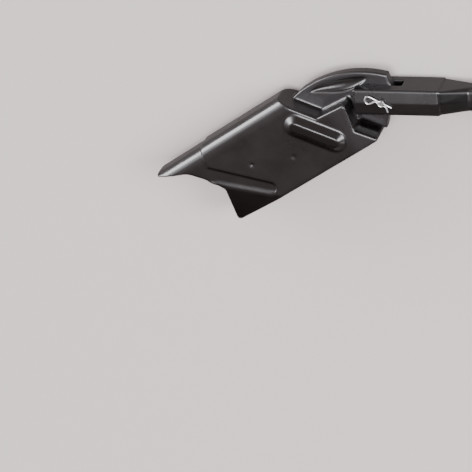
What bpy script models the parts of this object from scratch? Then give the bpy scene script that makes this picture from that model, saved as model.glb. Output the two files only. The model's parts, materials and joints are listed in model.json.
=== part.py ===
"""Mulch plug for a ride-on mower: a blow-moulded body, a forked handle, its clevis pin and the pin's clip.

The plug lies on its far side. x runs along the body towards the handle, y runs up the body's height and z
runs through its thickness, from the far side to the near side. The side view is drawn from the body's lower
front corner, and z is counted from the middle of the tang until the whole is set down. All in metres.
"""
import math

import bmesh
import bpy
from mathutils import Matrix, Vector

# Body, side view
BODY_HEIGHT = 0.151
BODY_THICKNESS = 0.0735
BODY_SHIFT = 0.0105         # from the tang's middle to the body's, towards the near side
BOTTOM_LENGTH = 0.324
SHOULDER_X = 0.208
SHOULDER_FALL = math.radians(54.1)
VALLEY_Y = 0.587 * BODY_HEIGHT
LEDGE_END = (0.3094, 0.558 * BODY_HEIGHT)
END_KNEE = (0.2956, 0.244 * BODY_HEIGHT)
THROAT = (0.0262, 0.421 * BODY_HEIGHT)
NOSE_KNEES = ((0.0063, BODY_HEIGHT - 0.0555), (-0.0165, BODY_HEIGHT - 0.0287), (-0.060, BODY_HEIGHT - 0.012))
NOSE_TIP = (-0.074, BODY_HEIGHT - 0.007)
TOP_ROUND = 0.0245
RIM_ROUND = 0.004
EDGE_ROUND = 0.0035
FRONT_ROUND = 0.006
CORNER_ROUND = 0.008
NOSE_ROUND = 0.030
VALLEY_ROUND = 0.004

# Step in the wall: the nose and a round-ended channel lie lower than the rest of the body
STEP_DEPTH = 0.0024
STEP_KNEE = (0.027, BODY_HEIGHT - 0.037)
STEP_TOP_X = 0.033
CHANNEL_END = (0.1005, 0.168 * BODY_HEIGHT)
CHANNEL_RADIUS = 0.0112
CHANNEL_FALL = math.radians(44.7)
CHANNEL_SWEEP = math.radians(176.0)

# Facet that takes the body's lower front corner back on each side
FACET_TOP = (0.0334, 0.463 * BODY_HEIGHT)
FACET_FOOT = (0.093, 0.114 * BODY_HEIGHT)
FACET_DEPTH = 0.019

# Raised rib on each side, parallel to the shoulder
RIB_CENTRE = (0.234, 0.45 * BODY_HEIGHT)
RIB_LENGTH = 0.112
RIB_WIDTH = 0.040
RIB_CREST_WIDTH = 0.0172
RIB_HEIGHT = 0.011
RIB_CREST_FALL = math.radians(8.0)
RIB_FOOT_ROUND = 0.003
RIB_CREST_ROUND = 0.0035

# Small round sinks in the near side
SINK_PLACES = ((0.0998, 0.516 * BODY_HEIGHT), (0.1745, 0.343 * BODY_HEIGHT))
SINK_RADIUS = 0.0032
SINK_DEPTH = 0.002

# Tang: the arched fin that carries the handle
TANG_THICKNESS = 0.0205
ARCH_CENTRE_X = 0.2587
ARCH_RADIUS = 0.180
ARCH_TOP_Y = BODY_HEIGHT - 0.0145
ARCH_START_X = 0.205
TANG_HEEL_X = 0.3883
TANG_NECK = (0.385, 0.068)
TANG_WEB = (0.3472, 0.019)
TANG_TOE = (0.3296, 0.0012)
TANG_WEB_START = (0.303, 0.038)
TANG_ROOT = (0.275, 0.050)
TANG_BOSS_RADIUS = 0.019
TANG_EDGE_ROUND = 0.0025

# Finger scoop in each side of the tang
SCOOP_START_X = 0.250
SCOOP_END_X = 0.358
SCOOP_RIM = 0.0095
SCOOP_HALF_WIDTH = 0.0115
SCOOP_DEPTH = 0.0083
SCOOP_BLUNT_END = 0.15      # the first and last rings' distance from the tips, in ring spacings
SCOOP_LEAN = 1.3            # over 1 moves the widest place towards the heel
SCOOP_FULLNESS = 0.8        # under 1 makes the crescent's ends blunter

# Handle, along its own length from the pin
PIN_PLACE = (0.3631, 0.0515)
HANDLE_FALL = math.radians(32.4)
HANDLE_LEAD = 0.050
HANDLE_BOX_LENGTH = 0.148
HANDLE_HEIGHT = 0.0456
HANDLE_DROP = 0.0021        # from the pin down to the handle's middle line
HANDLE_WIDTH = 0.067
HANDLE_SHIFT = 0.00225      # from the tang's middle to the handle's, towards the near side
HANDLE_DRAFT = 0.0025
HANDLE_EDGE_ROUND = 0.003
BOX_LIP = 0.0016            # how far the taper starts inside the box's end
FORK_SLOT_DEPTH = 0.080
FORK_SIDE_CLEARANCE = 0.0007
TAPER_LENGTH = 0.046
GRIP_LENGTH = 0.098
GRIP_WIDTH = 0.037
GRIP_HEIGHT = 0.042
GRIP_SWELL = 0.0015
GRIP_ROUND = 0.0095
GRIP_END_RADIUS = 0.011
GRIP_END_LEAN = math.radians(80.0)

# Clevis pin
PIN_RADIUS = 0.005
PIN_HEAD_RADIUS = 0.008
PIN_HEAD_HEIGHT = 0.003
PIN_END_LENGTH = 0.0036
PIN_CHAMFER = 0.001
HANDLE_BORE_CLEARANCE = 0.0003
TANG_BORE_CLEARANCE = 0.0004
SEAT_GAP = 0.0003

# Clip through the pin's near end
WIRE_RADIUS = 0.0015
WIRE_HOLE_CLEARANCE = 0.0004
CLIP_FALL = math.radians(60.0)
CLIP_LEG = 0.019
CLIP_LOOP_REACH = 0.0212
CLIP_LOOP_RADIUS = 0.0067
CLIP_TAIL = (0.0165, 0.0105)
LOOP_START_SHARE = 0.70
LOOP_END_SHARE = 0.66
LOOP_SWEEP = math.radians(196.0)
WRAP_START = math.radians(148.0)
WRAP_END = math.radians(35.0)
WRAP_LEAD_IN = 1.45
WRAP_LEAD_OUT = 1.25

# Facets of the round shapes
ARC_STEP = math.radians(12.0)
ROUND_SIDES = 32
EDGE_STEPS = 3
ARCH_STEPS = 18
SHARPEST_MITRE = 0.3
SCOOP_RINGS = 18
SCOOP_SIDES = 16
GRIP_END_RINGS = 5
MARGIN = 0.03

NEAR_FACE = BODY_SHIFT + BODY_THICKNESS / 2
FAR_FACE = BODY_SHIFT - BODY_THICKNESS / 2
HANDLE_NEAR = HANDLE_SHIFT + HANDLE_WIDTH / 2
HANDLE_FAR = HANDLE_SHIFT - HANDLE_WIDTH / 2


def clear_scene():
    for item in list(bpy.data.objects):
        bpy.data.objects.remove(item, do_unlink=True)


def material(name, colour, roughness, metallic):
    mat = bpy.data.materials.new(name)
    mat.use_nodes = True
    shader = mat.node_tree.nodes["Principled BSDF"]
    shader.inputs["Base Color"].default_value = (*colour, 1.0)
    shader.inputs["Roughness"].default_value = roughness
    shader.inputs["Metallic"].default_value = metallic
    return mat


def arc(centre, radius, start, end):
    """Points of an arc from one angle to another, in steps of about ARC_STEP."""
    count = max(2, round(abs(end - start) / ARC_STEP))
    angles = [start + (end - start) * i / count for i in range(count + 1)]
    return [Vector((centre[0] + radius * math.cos(a), centre[1] + radius * math.sin(a))) for a in angles]


def rounded(corners):
    """A closed outline from (x, y, corner radius) corners, with each radius as an arc."""
    outline = []
    for i, (x, y, radius) in enumerate(corners):
        corner = Vector((x, y))
        if radius == 0:
            outline.append(corner)
            continue
        before = (Vector(corners[i - 1][:2]) - corner).normalized()
        after = (Vector(corners[(i + 1) % len(corners)][:2]) - corner).normalized()
        half = before.angle(after) / 2
        middle = corner + (before + after).normalized() * (radius / math.sin(half))
        first = corner + before * (radius / math.tan(half)) - middle
        last = corner + after * (radius / math.tan(half)) - middle
        start = math.atan2(first.y, first.x)
        turn = (math.atan2(last.y, last.x) - start + math.pi) % (2 * math.pi) - math.pi
        outline.extend(arc(middle, radius, start, start + turn))
    return outline


def make_object(name, bm):
    """An object from a bmesh, with its faces pointing out."""
    bmesh.ops.recalc_face_normals(bm, faces=bm.faces)
    mesh = bpy.data.meshes.new(name)
    bm.to_mesh(mesh)
    bm.free()
    item = bpy.data.objects.new(name, mesh)
    bpy.context.collection.objects.link(item)
    return item


def loft(name, rings):
    """A closed solid through rings of points, with a flat cap at each end."""
    bm = bmesh.new()
    loops = [[bm.verts.new(point) for point in ring] for ring in rings]
    for lower, upper in zip(loops, loops[1:]):
        for i, vert in enumerate(lower):
            following = (i + 1) % len(lower)
            bm.faces.new((vert, lower[following], upper[following], upper[i]))
    bm.faces.new(loops[0])
    bm.faces.new(loops[-1])
    return make_object(name, bm)


def prism(name, outline, low, high):
    """A side-view outline, extruded along z."""
    return loft(name, [[(p.x, p.y, z) for p in outline] for z in (low, high)])


def combine(target, tool, operation):
    """Cut, join or intersect with a tool, which is used up."""
    modifier = target.modifiers.new("combine", "BOOLEAN")
    modifier.object = tool
    modifier.operation = operation
    modifier.solver = "EXACT"
    view_layer = bpy.context.view_layer
    view_layer.update()
    result = bpy.data.meshes.new_from_object(target.evaluated_get(view_layer.depsgraph))
    target.modifiers.clear()
    target.data = result
    bpy.data.objects.remove(tool, do_unlink=True)


def inset(outline, distance):
    """A closed outline moved inwards by a distance, corner by corner."""
    count = len(outline)
    area = sum(outline[i - 1].cross(outline[i]) for i in range(count))
    turn = 1 if area > 0 else -1
    moved = []
    for i, point in enumerate(outline):
        before = (point - outline[i - 1]).normalized()
        after = (outline[(i + 1) % count] - point).normalized()
        normal = Vector((-before.y, before.x)) * turn
        middle = (normal + Vector((-after.y, after.x)) * turn).normalized()
        moved.append(point + middle * (distance / max(SHARPEST_MITRE, middle.dot(normal))))
    return moved


def rounded_prism(name, outline, low, high, radius):
    """A side-view outline, extruded along z, with its edges at both faces rounded."""
    steps = range(EDGE_STEPS + 1)
    turns = [math.pi / 2 * i / EDGE_STEPS for i in steps]
    levels = [(radius * (1 - math.sin(t)), low + radius * (1 - math.cos(t))) for t in turns]
    levels += [(radius * (1 - math.sin(t)), high - radius * (1 - math.cos(t))) for t in reversed(turns)]
    return loft(name, [[(p.x, p.y, z) for p in inset(outline, drop)] for drop, z in levels])


def body_outline():
    valley_x = SHOULDER_X + (BODY_HEIGHT - VALLEY_Y) / math.tan(SHOULDER_FALL)
    return rounded([
        (0, 0, FRONT_ROUND),
        (BOTTOM_LENGTH, 0, VALLEY_ROUND),
        (*END_KNEE, CORNER_ROUND),
        (*LEDGE_END, VALLEY_ROUND),
        (valley_x, VALLEY_Y, VALLEY_ROUND),
        (SHOULDER_X, BODY_HEIGHT, RIM_ROUND),
        (NOSE_TIP[0], BODY_HEIGHT, 0),
        (*NOSE_TIP, 0),
        *((x, y, NOSE_ROUND) for x, y in reversed(NOSE_KNEES)),
        (*THROAT, CORNER_ROUND),
    ])


def body_block(depth):
    """The body's whole block, or the same block with its wall a given depth lower."""
    near = NEAR_FACE - depth
    far = FAR_FACE + depth
    top = BODY_HEIGHT - depth
    block = rounded_prism("block", body_outline(), far, near, EDGE_ROUND)
    floor_y = -MARGIN
    across = rounded([
        (far - MARGIN, floor_y, 0), (near + MARGIN, floor_y, 0),
        (near + MARGIN, top - TOP_ROUND, 0), (near, top - TOP_ROUND, 0),
        (near, top, TOP_ROUND), (far, top, TOP_ROUND),
        (far, top - TOP_ROUND, 0), (far - MARGIN, top - TOP_ROUND, 0)])
    ends = (NOSE_TIP[0] - MARGIN, BOTTOM_LENGTH + MARGIN)
    combine(block, loft("across", [[(x, p.y, p.x) for p in across] for x in ends]), "INTERSECT")
    return block


def step_region():
    """Where the wall is a step lower: round the nose and the channel."""
    fall = Vector((math.cos(CHANNEL_FALL), -math.sin(CHANNEL_FALL)))
    side = Vector((-fall.y, fall.x)) * CHANNEL_RADIUS
    facet = (Vector(FACET_FOOT) - Vector(FACET_TOP)).normalized()
    outside = Vector(FACET_TOP) - facet * (MARGIN + CHANNEL_RADIUS)
    start = math.atan2(side.y, side.x)
    outline = [Vector((STEP_TOP_X, BODY_HEIGHT + MARGIN)), Vector((STEP_TOP_X, BODY_HEIGHT)),
               Vector(STEP_KNEE)]
    outline += arc(CHANNEL_END, CHANNEL_RADIUS, start, start - CHANNEL_SWEEP)
    outline += [Vector(FACET_TOP), outside,
                Vector((NOSE_TIP[0] - MARGIN, outside.y)),
                Vector((NOSE_TIP[0] - MARGIN, BODY_HEIGHT + MARGIN))]
    return prism("step", outline, FAR_FACE - MARGIN, NEAR_FACE + MARGIN)


def face_of(side):
    """Where the body's near (1) or far (-1) face lies on z."""
    return NEAR_FACE if side > 0 else FAR_FACE


def facet_cutter(side):
    """A block whose lower face is the facet's plane, for the near (1) or far (-1) side."""
    face = face_of(side)
    top = Vector((*FACET_TOP, face))
    along = (Vector((*FACET_FOOT, face)) - top).normalized()
    corner = Vector((0, 0, face - side * FACET_DEPTH))
    inward = corner - top
    inward = (inward - along * inward.dot(along)).normalized()
    out = along.cross(inward)
    if out.z * side < 0:
        out = -out
    size = BODY_HEIGHT
    rings = []
    for rise in (0, size):
        rings.append([top + along * a + inward * b + out * rise
                      for a, b in ((-size, -size), (size, -size), (size, size), (-size, size))])
    return loft("facet", rings)


def rib(side):
    """A raised rib with round ends and soft flanks, whose crest falls towards the body's lower edge."""
    along = Vector((math.cos(SHOULDER_FALL), -math.sin(SHOULDER_FALL)))
    across = Vector((-along.y, along.x))
    centre = Vector(RIB_CENTRE)
    heading = math.atan2(along.y, along.x)
    straight = (RIB_LENGTH - RIB_WIDTH) / 2
    face = face_of(side)
    run = (RIB_WIDTH - RIB_CREST_WIDTH) / 2
    flank = rounded([
        (-run, 0, 0), (0, 0, RIB_FOOT_ROUND), (run, RIB_HEIGHT, RIB_CREST_ROUND),
        (2 * run, RIB_HEIGHT, 0), (2 * run, -run, 0), (-run, -run, 0)])[1:-3]
    rings = []
    for inward, rise in [(flank[0].x, -EDGE_ROUND)] + [(p.x, p.y) for p in flank]:
        radius = RIB_WIDTH / 2 - inward
        outline = arc(centre + along * straight, radius, heading - math.pi / 2, heading + math.pi / 2)
        outline += arc(centre - along * straight, radius, heading + math.pi / 2, heading + 3 * math.pi / 2)
        ring = []
        for point in outline:
            below_crest = max(0, RIB_CREST_WIDTH / 2 - (point - centre).dot(across))
            fall = math.tan(RIB_CREST_FALL) * below_crest * max(0, rise) / RIB_HEIGHT
            ring.append((point.x, point.y, face + side * (rise - fall)))
        rings.append(ring)
    return loft("rib", rings)


def sink(place):
    """A cutter for a small round sink in the near side."""
    face = NEAR_FACE
    rings = []
    for radius, z in ((SINK_RADIUS / 2, face - SINK_DEPTH), (SINK_RADIUS, face - SINK_DEPTH / 2),
                      (SINK_RADIUS, face + SINK_DEPTH)):
        rings.append([(p.x, p.y, z) for p in arc(place, radius, 0, 2 * math.pi)[:-1]])
    return loft("sink", rings)


def arch_point(x, drop):
    """A point on the tang's arch, or on the arc that lies a given drop inside it."""
    radius = ARCH_RADIUS - drop
    centre_y = ARCH_TOP_Y - ARCH_RADIUS
    return Vector((x, centre_y + math.sqrt(radius ** 2 - (x - ARCH_CENTRE_X) ** 2)))


def tang_outline():
    """The arch, the heel, the round boss at the pin and the web below it."""
    outline = [arch_point(TANG_HEEL_X - (TANG_HEEL_X - ARCH_START_X) * i / ARCH_STEPS, 0)
               for i in range(ARCH_STEPS + 1)]
    outline += [Vector(TANG_ROOT), Vector(TANG_WEB_START), Vector(TANG_TOE), Vector(TANG_WEB)]
    neck = Vector(TANG_NECK) - Vector(PIN_PLACE)
    web = Vector(TANG_WEB) - Vector(PIN_PLACE)
    start = math.atan2(web.y, web.x) + math.acos(min(1, TANG_BOSS_RADIUS / web.length))
    end = math.atan2(neck.y, neck.x) - math.acos(min(1, TANG_BOSS_RADIUS / neck.length))
    outline += arc(PIN_PLACE, TANG_BOSS_RADIUS, start, end)
    outline.append(Vector(TANG_NECK))
    return outline


def scoop(side):
    """A crescent hollow under the arch, deepest near its upper rim."""
    face = side * TANG_THICKNESS / 2
    hub = Vector((ARCH_CENTRE_X, ARCH_TOP_Y - ARCH_RADIUS))
    rings = []
    for i in range(SCOOP_RINGS + 1):
        share = (i + SCOOP_BLUNT_END) / (SCOOP_RINGS + 2 * SCOOP_BLUNT_END)
        x = SCOOP_START_X + (SCOOP_END_X - SCOOP_START_X) * share
        size = math.sin(math.pi * share ** SCOOP_LEAN) ** SCOOP_FULLNESS
        half = SCOOP_HALF_WIDTH * size
        middle = arch_point(x, SCOOP_RIM + half)
        outward = (middle - hub).normalized()
        ring = []
        for k in range(SCOOP_SIDES):
            angle = 2 * math.pi * k / SCOOP_SIDES
            depth = math.sin(angle)
            place = middle + outward * (half * math.cos(angle))
            ring.append((place.x, place.y, face + SCOOP_DEPTH * size * depth))
        rings.append(ring)
    return loft("scoop", rings)


def rod(radius, low, high):
    """A round bar along z at the origin."""
    return loft("rod", [[(p.x, p.y, z) for p in arc((0, 0), radius, 0, 2 * math.pi)[:-1]]
                        for z in (low, high)])


def turned(name, profile):
    """A solid turned about z from (radius, z) points."""
    rings = []
    for radius, z in profile:
        rings.append([(radius * math.cos(2 * math.pi * k / ROUND_SIDES),
                       radius * math.sin(2 * math.pi * k / ROUND_SIDES), z) for k in range(ROUND_SIDES)])
    return loft(name, rings)


def bore(radius, place):
    """A cutter for the pin's bore at a place in the side view."""
    tool = turned("bore", ((radius, HANDLE_FAR - MARGIN), (radius, HANDLE_NEAR + MARGIN)))
    tool.data.transform(Matrix.Translation((*place, 0)))
    return tool


def make_plug_body():
    body = body_block(0)
    body.name = "plug_body"
    lowered = step_region()
    combine(lowered, body_block(STEP_DEPTH), "DIFFERENCE")
    combine(body, lowered, "DIFFERENCE")
    half = TANG_THICKNESS / 2
    tang = rounded_prism("tang", tang_outline(), -half, half, TANG_EDGE_ROUND)
    for side in (1, -1):
        combine(tang, scoop(side), "DIFFERENCE")
    combine(body, tang, "UNION")
    combine(body, bore(PIN_RADIUS + TANG_BORE_CLEARANCE, PIN_PLACE), "DIFFERENCE")
    for side in (1, -1):
        combine(body, facet_cutter(side), "DIFFERENCE")
        combine(body, rib(side), "UNION")
    for place in SINK_PLACES:
        combine(body, sink(place), "DIFFERENCE")
    return body


def handle_section(x, width, height, shift, draft, corner):
    """The handle's section across its length: drafted sides that meet in a crease at mid height."""
    half_w = width / 2
    half_h = height / 2
    outline = rounded([
        (half_w, 0, 0), (half_w - draft, half_h, corner), (-half_w + draft, half_h, corner),
        (-half_w, 0, 0), (-half_w + draft, -half_h, corner), (half_w - draft, -half_h, corner)])
    return [(x, p.y - HANDLE_DROP, p.x + shift) for p in outline]


def make_handle():
    box_end = HANDLE_BOX_LENGTH - HANDLE_LEAD
    grip_start = box_end + TAPER_LENGTH
    grip_end = grip_start + GRIP_LENGTH
    edge = HANDLE_EDGE_ROUND
    inner = (HANDLE_WIDTH - edge, HANDLE_HEIGHT - edge, HANDLE_SHIFT, HANDLE_DRAFT, edge)
    outer = (HANDLE_WIDTH, HANDLE_HEIGHT, HANDLE_SHIFT, HANDLE_DRAFT, edge)
    swollen = (GRIP_WIDTH + GRIP_SWELL, GRIP_HEIGHT + GRIP_SWELL, 0, HANDLE_DRAFT / 2, GRIP_ROUND)
    stations = [
        (-HANDLE_LEAD, *inner),
        (-HANDLE_LEAD + edge / 2, *outer),
        (box_end - BOX_LIP, *outer),
        (box_end, HANDLE_WIDTH - 2 * BOX_LIP, HANDLE_HEIGHT - 2 * BOX_LIP, *outer[2:]),
        (grip_start, GRIP_WIDTH, GRIP_HEIGHT, *swollen[2:]),
        (grip_start + GRIP_LENGTH / 4, *swollen),
        (grip_start + GRIP_LENGTH / 2, *swollen),
    ]
    for i in range(GRIP_END_RINGS + 1):
        lean = GRIP_END_LEAN * i / GRIP_END_RINGS
        less = GRIP_END_RADIUS * (1 - math.cos(lean))
        place = grip_end - GRIP_END_RADIUS * (1 - math.sin(lean))
        stations.append((place, GRIP_WIDTH - 2 * less, GRIP_HEIGHT - 2 * less, 0,
                         HANDLE_DRAFT / 2 * math.cos(lean), GRIP_ROUND - less / 2))
    handle = loft("handle", [handle_section(*station) for station in stations])
    half_slot = TANG_THICKNESS / 2 + FORK_SIDE_CLEARANCE
    slot_end = FORK_SLOT_DEPTH - HANDLE_LEAD
    slot = rounded([(-HANDLE_LEAD - MARGIN, -half_slot, 0), (slot_end, -half_slot, HANDLE_EDGE_ROUND),
                    (slot_end, half_slot, HANDLE_EDGE_ROUND), (-HANDLE_LEAD - MARGIN, half_slot, 0)])
    cutter = loft("slot", [[(p.x, y, p.y) for p in slot] for y in (-HANDLE_HEIGHT, HANDLE_HEIGHT)])
    combine(handle, cutter, "DIFFERENCE")
    combine(handle, bore(PIN_RADIUS + HANDLE_BORE_CLEARANCE, (0, 0)), "DIFFERENCE")
    return handle


def make_clevis_pin():
    head = HANDLE_FAR - SEAT_GAP
    clip_z = HANDLE_NEAR + SEAT_GAP + WIRE_RADIUS
    end = clip_z + PIN_END_LENGTH
    pin = turned("clevis_pin", (
        (PIN_HEAD_RADIUS - PIN_CHAMFER, head - PIN_HEAD_HEIGHT),
        (PIN_HEAD_RADIUS, head - PIN_HEAD_HEIGHT + PIN_CHAMFER),
        (PIN_HEAD_RADIUS, head),
        (PIN_RADIUS, head),
        (PIN_RADIUS, end - PIN_CHAMFER),
        (PIN_RADIUS - PIN_CHAMFER, end)))
    hole = rod(WIRE_RADIUS + WIRE_HOLE_CLEARANCE, -2 * PIN_RADIUS, 2 * PIN_RADIUS)
    lying = Matrix.Rotation(HANDLE_FALL - CLIP_FALL, 4, "Z") @ Matrix.Rotation(math.pi / 2, 4, "Y")
    hole.data.transform(Matrix.Translation((0, 0, clip_z)) @ lying)
    combine(pin, hole, "DIFFERENCE")
    return pin


def clip_route():
    """The wire's middle line, along the straight leg, round the loop and back over the pin."""
    wrap = PIN_RADIUS + WIRE_RADIUS + SEAT_GAP
    neck = 2 * WIRE_RADIUS + SEAT_GAP
    loop = Vector((-CLIP_LOOP_REACH, CLIP_LOOP_RADIUS))
    route = [Vector((CLIP_LEG, 0)), Vector((CLIP_LEG / 2, 0)), Vector((0, 0)), Vector((-wrap, 0)),
             Vector((-CLIP_LOOP_REACH * LOOP_START_SHARE, 0))]
    route += arc(loop, CLIP_LOOP_RADIUS, -math.pi / 2, -math.pi / 2 - LOOP_SWEEP)
    route += [Vector((-CLIP_LOOP_REACH * LOOP_END_SHARE, neck + CLIP_LOOP_RADIUS * LOOP_END_SHARE)),
              Vector((-wrap * WRAP_LEAD_IN, neck))]
    route += arc((0, 0), wrap, WRAP_START, WRAP_END)
    route += [Vector((wrap * WRAP_LEAD_OUT, neck)), Vector(CLIP_TAIL)]
    return route


def make_r_clip():
    curve = bpy.data.curves.new("r_clip", "CURVE")
    curve.dimensions = "3D"
    curve.bevel_depth = WIRE_RADIUS
    curve.bevel_resolution = 2
    curve.use_fill_caps = True
    curve.resolution_u = 3
    route = clip_route()
    spline = curve.splines.new("BEZIER")
    spline.bezier_points.add(len(route) - 1)
    for point, place in zip(spline.bezier_points, route):
        point.co = (place.x, -place.y, 0)
        point.handle_left_type = "AUTO"
        point.handle_right_type = "AUTO"
    clip = bpy.data.objects.new("r_clip", curve)
    bpy.context.collection.objects.link(clip)
    clip.location = (0, 0, HANDLE_NEAR + SEAT_GAP + WIRE_RADIUS)
    clip.rotation_euler = (0, 0, HANDLE_FALL - CLIP_FALL)
    return clip


def empty(name):
    item = bpy.data.objects.new(name, None)
    bpy.context.collection.objects.link(item)
    return item


def set_down(root, pieces):
    """Move the whole so that its box stands centred on the origin, at z = 0."""
    bpy.context.view_layer.update()
    depsgraph = bpy.context.evaluated_depsgraph_get()
    low = Vector((math.inf,) * 3)
    high = Vector((-math.inf,) * 3)
    for piece in pieces:
        evaluated = piece.evaluated_get(depsgraph)
        mesh = evaluated.to_mesh()
        for vert in mesh.vertices:
            place = evaluated.matrix_world @ vert.co
            low = Vector(map(min, low, place))
            high = Vector(map(max, high, place))
        evaluated.to_mesh_clear()
    root.location = (-(low.x + high.x) / 2, -(low.y + high.y) / 2, -low.z)


def main():
    clear_scene()
    black_plastic = material("black_plastic", (0.020, 0.018, 0.018), 0.42, 0.0)
    steel = material("bright_steel", (0.62, 0.62, 0.60), 0.25, 1.0)
    plug = make_plug_body()
    handle = make_handle()
    pin = make_clevis_pin()
    clip = make_r_clip()
    root = empty("plug_place")
    pivot = empty("handle_pivot")
    pivot.location = (*PIN_PLACE, 0)
    pivot.rotation_euler = (0, 0, -HANDLE_FALL)
    pivot.parent = root
    plug.parent = root
    for piece in (handle, pin, clip):
        piece.parent = pivot
    for piece, finish in ((plug, black_plastic), (handle, black_plastic), (pin, steel), (clip, steel)):
        piece.data.materials.clear()
        piece.data.materials.append(finish)
        if piece.type == "MESH":
            piece.data.shade_smooth()
            piece.data.set_sharp_from_angle(angle=math.radians(30))
    set_down(root, (plug, handle, pin, clip))


main()
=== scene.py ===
"""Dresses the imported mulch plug: moulded plastic, plated steel, a pale floor, soft light and the view."""
import json
import math

import bmesh
import bpy
from mathutils import Matrix, Vector


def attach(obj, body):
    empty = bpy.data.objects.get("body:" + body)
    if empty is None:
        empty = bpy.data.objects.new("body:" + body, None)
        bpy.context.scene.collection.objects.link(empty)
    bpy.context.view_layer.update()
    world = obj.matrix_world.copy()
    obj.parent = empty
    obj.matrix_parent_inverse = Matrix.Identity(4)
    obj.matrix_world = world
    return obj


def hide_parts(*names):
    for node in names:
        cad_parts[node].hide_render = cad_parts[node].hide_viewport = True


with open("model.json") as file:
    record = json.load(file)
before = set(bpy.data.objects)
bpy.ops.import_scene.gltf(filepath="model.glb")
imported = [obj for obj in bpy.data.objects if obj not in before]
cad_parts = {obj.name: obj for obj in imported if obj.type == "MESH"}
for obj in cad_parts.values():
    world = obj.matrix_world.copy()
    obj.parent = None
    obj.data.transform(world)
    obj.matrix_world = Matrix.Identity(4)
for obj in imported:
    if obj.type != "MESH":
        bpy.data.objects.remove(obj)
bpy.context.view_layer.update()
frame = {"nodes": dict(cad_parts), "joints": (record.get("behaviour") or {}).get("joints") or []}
NODES = frame["nodes"]

# The camera: its directions and its place in the part's frame, and its focal length in the image's pixels
CAMERA_RIGHT = Vector((0.7488, -0.5998, -0.2819))
CAMERA_UP = Vector((0.4399, 0.7680, -0.4655))
CAMERA_BACK = Vector((0.4957, 0.2245, 0.8390))
CAMERA_PLACE = Vector((1.7570, 0.8690, 3.5021))
FOCAL_PIXELS = 2320.0
IMAGE_PIXELS = 472.0
SENSOR_WIDTH = 36.0
CAMERA_REACH = 50.0

# The moulded skins
BODY_VOXEL = 0.0015
HANDLE_VOXEL = 0.0013
SMOOTH_FACTOR = 0.5
BODY_SMOOTHING = 5
HANDLE_SMOOTHING = 3

# Small forms that are softened further: both ends in X and Y, the reach around them and the rounds of
# smoothing. The first is the low ridge between the channel and the corner facet, then come the two sinks.
SOFTER_FORMS = (
    ((-0.2260, 0.0500), (-0.1567, -0.0115), 0.0100, 40),
    ((-0.1499, 0.0492), (-0.1499, 0.0492), 0.0065, 11),
    ((-0.0752, 0.0230), (-0.0752, 0.0230), 0.0065, 34),
)
# The share by which the reach shrinks from the first round to the last
SOFTER_FADE = 0.6

# The tang's outer faces, painted paler and bluish as a painted reflection, standing in for the light that the
# handle shades off them: how far they and their edges lie from the tang's middle
TANG_MIDDLE = frame["joints"][0]["pos_m"][2]
TANG_FACE = 0.01025
SHEEN_BAND = 0.0012
# The painted sheen's colour, which stands in for reflected light
SHEEN_COLOUR = (0.020, 0.018, 0.020)
# As the Z of a face's normal: up to the first it gets no painted sheen at all, and from the second it gets it
# in full
FACE_LEANING = 0.75
FACE_FLAT = 0.97

# The body's end behind the ribs, painted paler towards the end as painted light: where it starts and is full
# along X, and its share
END_SHEEN_FROM = 0.018
END_SHEEN_FULL = 0.040
END_SHEEN = 0.75

# Moulded black plastic: colour, scuffed colour and roughness, and how much paler its dusty places are
BODY_BLACK = ((0.0058, 0.0041, 0.0039), (0.030, 0.027, 0.026), 0.30)
HANDLE_BLACK = ((0.0048, 0.0041, 0.0042), (0.030, 0.029, 0.031), 0.29)
DUST_LIFT = 1.45
PLASTIC_SPECULAR = 0.6
COAT_ROUGHNESS = 0.16

# Plated steel: colour and roughness, and how much darker its dull places are
PIN_PLATE = ((0.60, 0.60, 0.58), 0.30)
CLIP_PLATE = ((0.93, 0.93, 0.91), 0.34)
PLATE_DULLING = 0.82

# Textures: features per metre, detail, roughness and, where they are drawn out, the stretch
GRAIN = (520.0, 3.0, 0.6)
WAVES = (22.0, 2.0, 0.4)
PLASTIC_PATCHES = (14.0, 5.0, 0.65)
SCRATCHES = (60.0, 4.0, 0.6, (1.0, 14.0, 14.0))
DRAWN_GRAIN = (900.0, 3.0, 0.6, (1.0, 1.0, 0.15))
PLATE_PATCHES = (120.0, 3.0, 0.5)

# Bumps: height in metres and strength
GRAIN_BUMP = (0.00018, 0.45)
WAVE_BUMP = (0.0012, 0.35)
DRAWN_BUMP = (0.00004, 0.4)

# Ranges: the lowest and the highest result, and the values that give them
EDGE_WEAR = (0.0, 0.55, 0.515, 0.56)
DUST = (0.0, 0.5, 0.45, 0.75)
SCRATCH_GLOSS = (0.0, 0.10, 0.62, 0.80)
PLASTIC_GLOSS = (-0.06, 0.08, 0.3, 0.7)
PLATE_GLOSS = (-0.05, 0.12, 0.35, 0.7)

# The stage
FLOOR_SIZE = 14.0
FLOOR_COLOUR = (0.80, 0.728, 0.703)
FLOOR_BOUNCE = 0.26
FLOOR_ROUGHNESS = 0.9
BACKDROP_COLOUR = (0.95, 0.90, 0.88)

# The room's bright patches: the direction of each one's middle, its own angle, the angle in which its light
# falls off by a factor of e, and its radiance
PATCHES = (
    ((0.15, 0.06, 0.98), math.radians(9), math.radians(5.0), 14.0),
    ((-0.50, 0.86, 0.06), math.radians(14), math.radians(9.0), 12.5),
    ((0.80, -0.24, 0.55), math.radians(10), math.radians(3.0), 14.0),
)
ROOM_LEVEL = 0.26

# Dark sides of the room: direction, own angle and the angle of their fall
DARK_SIDES = (
    ((-0.74, -0.56, 0.30), math.radians(16), math.radians(12)),
    ((0.24, -0.44, 0.87), math.radians(15), math.radians(6)),
)
PATCH_COLOUR = (0.97, 0.96, 1.0)
ROOM_COLOUR = (1.0, 0.78, 0.76)

# A small low light: direction from the part, distance, width and height, and radiance
FRONT_LIGHT = ((0.50, -0.84, 0.20), 1.6, (0.34, 0.34), 12.0)


def nodes_of(mat):
    tree = mat.node_tree
    return tree.nodes, tree.links


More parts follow.
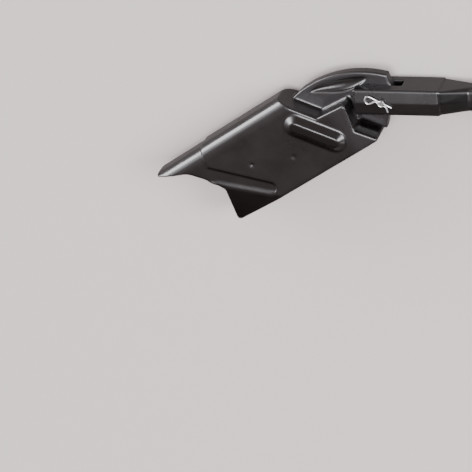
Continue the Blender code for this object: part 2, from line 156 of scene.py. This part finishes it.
def new_material(name, colour, roughness, metallic=0.0):
    mat = bpy.data.materials.new(name)
    mat.use_nodes = True
    shader = mat.node_tree.nodes["Principled BSDF"]
    shader.inputs["Base Color"].default_value = (*colour, 1.0)
    shader.inputs["Roughness"].default_value = roughness
    shader.inputs["Metallic"].default_value = metallic
    return mat, shader


def noise(mat, scale, detail, roughness, stretch=(1, 1, 1)):
    """A noise texture in the part's own metres. Scale is in features per metre."""
    nodes, links = nodes_of(mat)
    place = nodes.new("ShaderNodeTexCoord")
    mapping = nodes.new("ShaderNodeMapping")
    mapping.inputs["Scale"].default_value = stretch
    made = nodes.new("ShaderNodeTexNoise")
    made.inputs["Scale"].default_value = scale
    made.inputs["Detail"].default_value = detail
    made.inputs["Roughness"].default_value = roughness
    links.new(place.outputs["Object"], mapping.inputs["Vector"])
    links.new(mapping.outputs["Vector"], made.inputs["Vector"])
    return made.outputs[0]


def worked_out(tree, operation, *values, kind="ShaderNodeMath"):
    """A math node's result, from numbers and other nodes' outputs."""
    made = tree.nodes.new(kind)
    made.operation = operation
    for socket, value in zip(made.inputs, values):
        if isinstance(value, bpy.types.NodeSocket):
            tree.links.new(value, socket)
        else:
            socket.default_value = value
    return made.outputs["Value"]


def remap(mat, source, low, high, from_low=0.0, from_high=1.0):
    nodes, links = nodes_of(mat)
    made = nodes.new("ShaderNodeMapRange")
    for name, value in (("From Min", from_low), ("From Max", from_high), ("To Min", low), ("To Max", high)):
        made.inputs[name].default_value = value
    links.new(source, made.inputs["Value"])
    return made.outputs["Result"]


def mix_colour(mat, share, first, second):
    nodes, links = nodes_of(mat)
    made = nodes.new("ShaderNodeMix")
    made.data_type = "RGBA"
    links.new(share, made.inputs["Factor"])
    for socket, value in ((made.inputs[6], first), (made.inputs[7], second)):
        if isinstance(value, tuple):
            socket.default_value = (*value, 1.0)
        else:
            links.new(value, socket)
    return made.outputs[2]


def bump(mat, height, distance, strength, below=None):
    nodes, links = nodes_of(mat)
    made = nodes.new("ShaderNodeBump")
    made.inputs["Strength"].default_value = strength
    made.inputs["Distance"].default_value = distance
    links.new(height, made.inputs["Height"])
    if below is not None:
        links.new(below, made.inputs["Normal"])
    return made.outputs["Normal"]


def painted_sheen_share(mat):
    """The share of painted sheen: one on the tang's two outer faces, less on the body's end and none in the
    scoops or before the ribs.
    """
    tree = mat.node_tree
    place = tree.nodes.new("ShaderNodeSeparateXYZ")
    tree.links.new(tree.nodes.new("ShaderNodeTexCoord").outputs["Object"], place.inputs[0])
    facing = tree.nodes.new("ShaderNodeSeparateXYZ")
    tree.links.new(tree.nodes.new("ShaderNodeNewGeometry").outputs["Normal"], facing.inputs[0])
    away = worked_out(tree, "ABSOLUTE", worked_out(tree, "SUBTRACT", place.outputs["Z"], TANG_MIDDLE))
    tang_face = worked_out(tree, "COMPARE", away, TANG_FACE, SHEEN_BAND)
    body_face = worked_out(tree, "GREATER_THAN", away, 2 * TANG_FACE)
    end_sheen = remap(mat, place.outputs["X"], 0.0, END_SHEEN, END_SHEEN_FROM, END_SHEEN_FULL)
    share = worked_out(tree, "MULTIPLY_ADD", body_face, end_sheen, tang_face)
    flat = worked_out(tree, "ABSOLUTE", facing.outputs["Z"])
    return worked_out(tree, "MULTIPLY", share, remap(mat, flat, 0.0, 1.0, FACE_LEANING, FACE_FLAT))


def rough(mat, patches, roughness, gloss):
    """A roughness that goes up and down with the patches."""
    low, high, start, full = gloss
    return remap(mat, patches, roughness + low, roughness + high, start, full)


def moulded_plastic(name, colour, worn_colour, roughness, with_sheen=False):
    """Black moulded plastic: fine grain, slow waves in the wall, uneven gloss and paler scuffs on edges."""
    mat, shader = new_material(name, colour, roughness)
    nodes, links = nodes_of(mat)
    shader.inputs["Specular IOR Level"].default_value = PLASTIC_SPECULAR
    shader.inputs["Coat Weight"].default_value = 1.0
    shader.inputs["Coat Roughness"].default_value = COAT_ROUGHNESS
    grain = noise(mat, *GRAIN)
    waves = noise(mat, *WAVES)
    patches = noise(mat, *PLASTIC_PATCHES)
    scratches = noise(mat, *SCRATCHES)
    edges = nodes.new("ShaderNodeNewGeometry").outputs["Pointiness"]
    wear = remap(mat, edges, *EDGE_WEAR)
    dust = remap(mat, patches, *DUST)
    tone = mix_colour(mat, dust, colour, tuple(c * DUST_LIFT for c in colour))
    # A painted sheen: the tang's outer faces and the body's end are mixed paler, as painted light
    if with_sheen:
        tone = mix_colour(mat, painted_sheen_share(mat), tone, SHEEN_COLOUR)
    links.new(mix_colour(mat, wear, tone, worn_colour), shader.inputs["Base Color"])
    uneven = rough(mat, patches, roughness, PLASTIC_GLOSS)
    scratched = remap(mat, scratches, *SCRATCH_GLOSS)
    links.new(worked_out(mat.node_tree, "ADD", uneven, scratched), shader.inputs["Roughness"])
    wall = bump(mat, waves, *WAVE_BUMP)
    skin = bump(mat, grain, *GRAIN_BUMP, below=wall)
    links.new(skin, shader.inputs["Normal"])
    links.new(skin, shader.inputs["Coat Normal"])
    return mat


def plated_steel(name, colour, roughness):
    """Bright zinc plate with a drawn grain and slightly uneven gloss."""
    mat, shader = new_material(name, colour, roughness, 1.0)
    nodes, links = nodes_of(mat)
    drawn = noise(mat, *DRAWN_GRAIN)
    patches = noise(mat, *PLATE_PATCHES)
    dulled = tuple(c * PLATE_DULLING for c in colour)
    links.new(rough(mat, patches, roughness, PLATE_GLOSS), shader.inputs["Roughness"])
    links.new(mix_colour(mat, patches, colour, dulled), shader.inputs["Base Color"])
    links.new(bump(mat, drawn, *DRAWN_BUMP), shader.inputs["Normal"])
    return mat


def soften(mesh, start, end, reach, rounds):
    """Smooth the skin further within a reach of the line from start to end, which lies in X and Y."""
    start = Vector(start)
    along = Vector(end) - start
    bm = bmesh.new()
    bm.from_mesh(mesh)
    near = []
    for vert in bm.verts:
        share = 0.0
        if along.length > 0.0:
            share = min(1.0, max(0.0, (vert.co.xy - start).dot(along) / along.length_squared))
        gap = (vert.co.xy - start - along * share).length
        if gap < reach:
            near.append((vert, gap))
    for done in range(rounds):
        present_reach = reach * (1.0 - SOFTER_FADE * done / rounds)
        chosen = [vert for vert, gap in near if gap < present_reach]
        bmesh.ops.smooth_vert(bm, verts=chosen, factor=SMOOTH_FACTOR,
                              use_axis_x=True, use_axis_y=True, use_axis_z=True)
    bm.to_mesh(mesh)
    bm.free()


def moulded_skin(name, node, voxel, smoothing, mat, body):
    """The CAD solid's own shape, with the soft edges of a blow moulding."""
    item = bpy.data.objects.new(name, NODES[node].data.copy())
    bpy.context.scene.collection.objects.link(item)
    remesh = item.modifiers.new("skin", "REMESH")
    remesh.mode = "VOXEL"
    remesh.voxel_size = voxel
    remesh.use_smooth_shade = True
    smooth = item.modifiers.new("smooth", "SMOOTH")
    smooth.factor = SMOOTH_FACTOR
    smooth.iterations = smoothing
    bpy.context.view_layer.update()
    depsgraph = bpy.context.evaluated_depsgraph_get()
    mesh = bpy.data.meshes.new_from_object(item.evaluated_get(depsgraph))
    item.modifiers.clear()
    item.data = mesh
    if node == "plug_body":
        for form in SOFTER_FORMS:
            soften(mesh, *form)
    mesh.materials.clear()
    mesh.materials.append(mat)
    mesh.shade_smooth()
    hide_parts(node)
    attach(item, body)


def dress_node(node, mat):
    item = NODES[node]
    item.data.materials.clear()
    item.data.materials.append(mat)
    item.data.shade_smooth()


def place_camera():
    camera = bpy.data.cameras.new("camera")
    camera.sensor_width = SENSOR_WIDTH
    camera.lens = FOCAL_PIXELS / IMAGE_PIXELS * SENSOR_WIDTH
    camera.clip_end = CAMERA_REACH
    item = bpy.data.objects.new("camera", camera)
    bpy.context.scene.collection.objects.link(item)
    turn = Matrix((CAMERA_RIGHT, CAMERA_UP, CAMERA_BACK)).transposed()
    item.matrix_world = Matrix.Translation(CAMERA_PLACE) @ turn.to_4x4()
    bpy.context.scene.camera = item


def area_light(name, direction, distance, size, power):
    light = bpy.data.lights.new(name, "AREA")
    light.shape = "RECTANGLE"
    light.size, light.size_y = size
    light.energy = power
    item = bpy.data.objects.new(name, light)
    bpy.context.scene.collection.objects.link(item)
    away = Vector(direction).normalized()
    item.location = away * distance
    item.rotation_mode = "QUATERNION"
    item.rotation_quaternion = away.to_track_quat("Z", "Y")


def light_room(world):
    """Bright patches that fall off smoothly into a dim warm room, and a pale backdrop behind the floor."""
    tree = world.node_tree
    nodes, links = tree.nodes, tree.links
    ray = nodes.new("ShaderNodeTexCoord").outputs["Generated"]

    def lobe(direction, own_angle, fall):
        """One inside the lobe's own angle, and less the further outside it."""
        middle = Vector(direction).normalized()
        angle = worked_out(tree, "ARCCOSINE",
                           worked_out(tree, "DOT_PRODUCT", ray, middle, kind="ShaderNodeVectorMath"))
        outside = worked_out(tree, "MAXIMUM", worked_out(tree, "SUBTRACT", angle, own_angle), 0.0)
        return worked_out(tree, "EXPONENT", worked_out(tree, "DIVIDE", outside, -fall))

    level = ROOM_LEVEL
    for direction, own_angle, fall, radiance in PATCHES:
        level = worked_out(tree, "MULTIPLY_ADD", lobe(direction, own_angle, fall), radiance, level)
    for side in DARK_SIDES:
        level = worked_out(tree, "MULTIPLY", level, worked_out(tree, "SUBTRACT", 1.0, lobe(*side)))
    tint = nodes.new("ShaderNodeMix")
    tint.data_type = "RGBA"
    tint.inputs[6].default_value = (*ROOM_COLOUR, 1.0)
    tint.inputs[7].default_value = (*PATCH_COLOUR, 1.0)
    links.new(level, tint.inputs["Factor"])
    room = nodes["Background"]
    links.new(tint.outputs[2], room.inputs["Color"])
    links.new(level, room.inputs["Strength"])
    backdrop = nodes.new("ShaderNodeBackground")
    backdrop.inputs["Color"].default_value = (*BACKDROP_COLOUR, 1.0)
    either = nodes.new("ShaderNodeMixShader")
    links.new(nodes.new("ShaderNodeLightPath").outputs["Is Camera Ray"], either.inputs["Fac"])
    links.new(room.outputs[0], either.inputs[1])
    links.new(backdrop.outputs[0], either.inputs[2])
    links.new(either.outputs[0], nodes["World Output"].inputs["Surface"])


def floor_paint():
    """Pale to the eye, with the weak bounce of a floor that is well below the part, as in the photo."""
    mat, shader = new_material("floor_paint", FLOOR_COLOUR, FLOOR_ROUGHNESS)
    shader.inputs["Specular IOR Level"].default_value = 0.0
    nodes, links = nodes_of(mat)
    seen = nodes.new("ShaderNodeLightPath").outputs["Is Camera Ray"]
    dim = tuple(c * FLOOR_BOUNCE for c in FLOOR_COLOUR)
    links.new(mix_colour(mat, seen, dim, FLOOR_COLOUR), shader.inputs["Base Color"])
    return mat


def set_stage():
    mesh = bpy.data.meshes.new("floor")
    half = FLOOR_SIZE / 2
    corners = [(-half, -half, 0), (half, -half, 0), (half, half, 0), (-half, half, 0)]
    mesh.from_pydata(corners, [], [(0, 1, 2, 3)])
    floor = bpy.data.objects.new("floor", mesh)
    bpy.context.scene.collection.objects.link(floor)
    mesh.materials.append(floor_paint())
    world = bpy.data.worlds.new("studio")
    bpy.context.scene.world = world
    world.use_nodes = True
    light_room(world)
    direction, distance, size, radiance = FRONT_LIGHT
    area_light("front_light", direction, distance, size, radiance * math.pi * size[0] * size[1])


place_camera()
set_stage()
body_black = moulded_plastic("moulded_black", *BODY_BLACK, with_sheen=True)
handle_black = moulded_plastic("handle_black", *HANDLE_BLACK)
pin_plate = plated_steel("pin_plate", *PIN_PLATE)
clip_plate = plated_steel("clip_plate", *CLIP_PLATE)
moulded_skin("body_skin", "plug_body", BODY_VOXEL, BODY_SMOOTHING, body_black, "plug")
moulded_skin("handle_skin", "handle", HANDLE_VOXEL, HANDLE_SMOOTHING, handle_black, "lever")
dress_node("clevis_pin", pin_plate)
dress_node("r_clip", clip_plate)
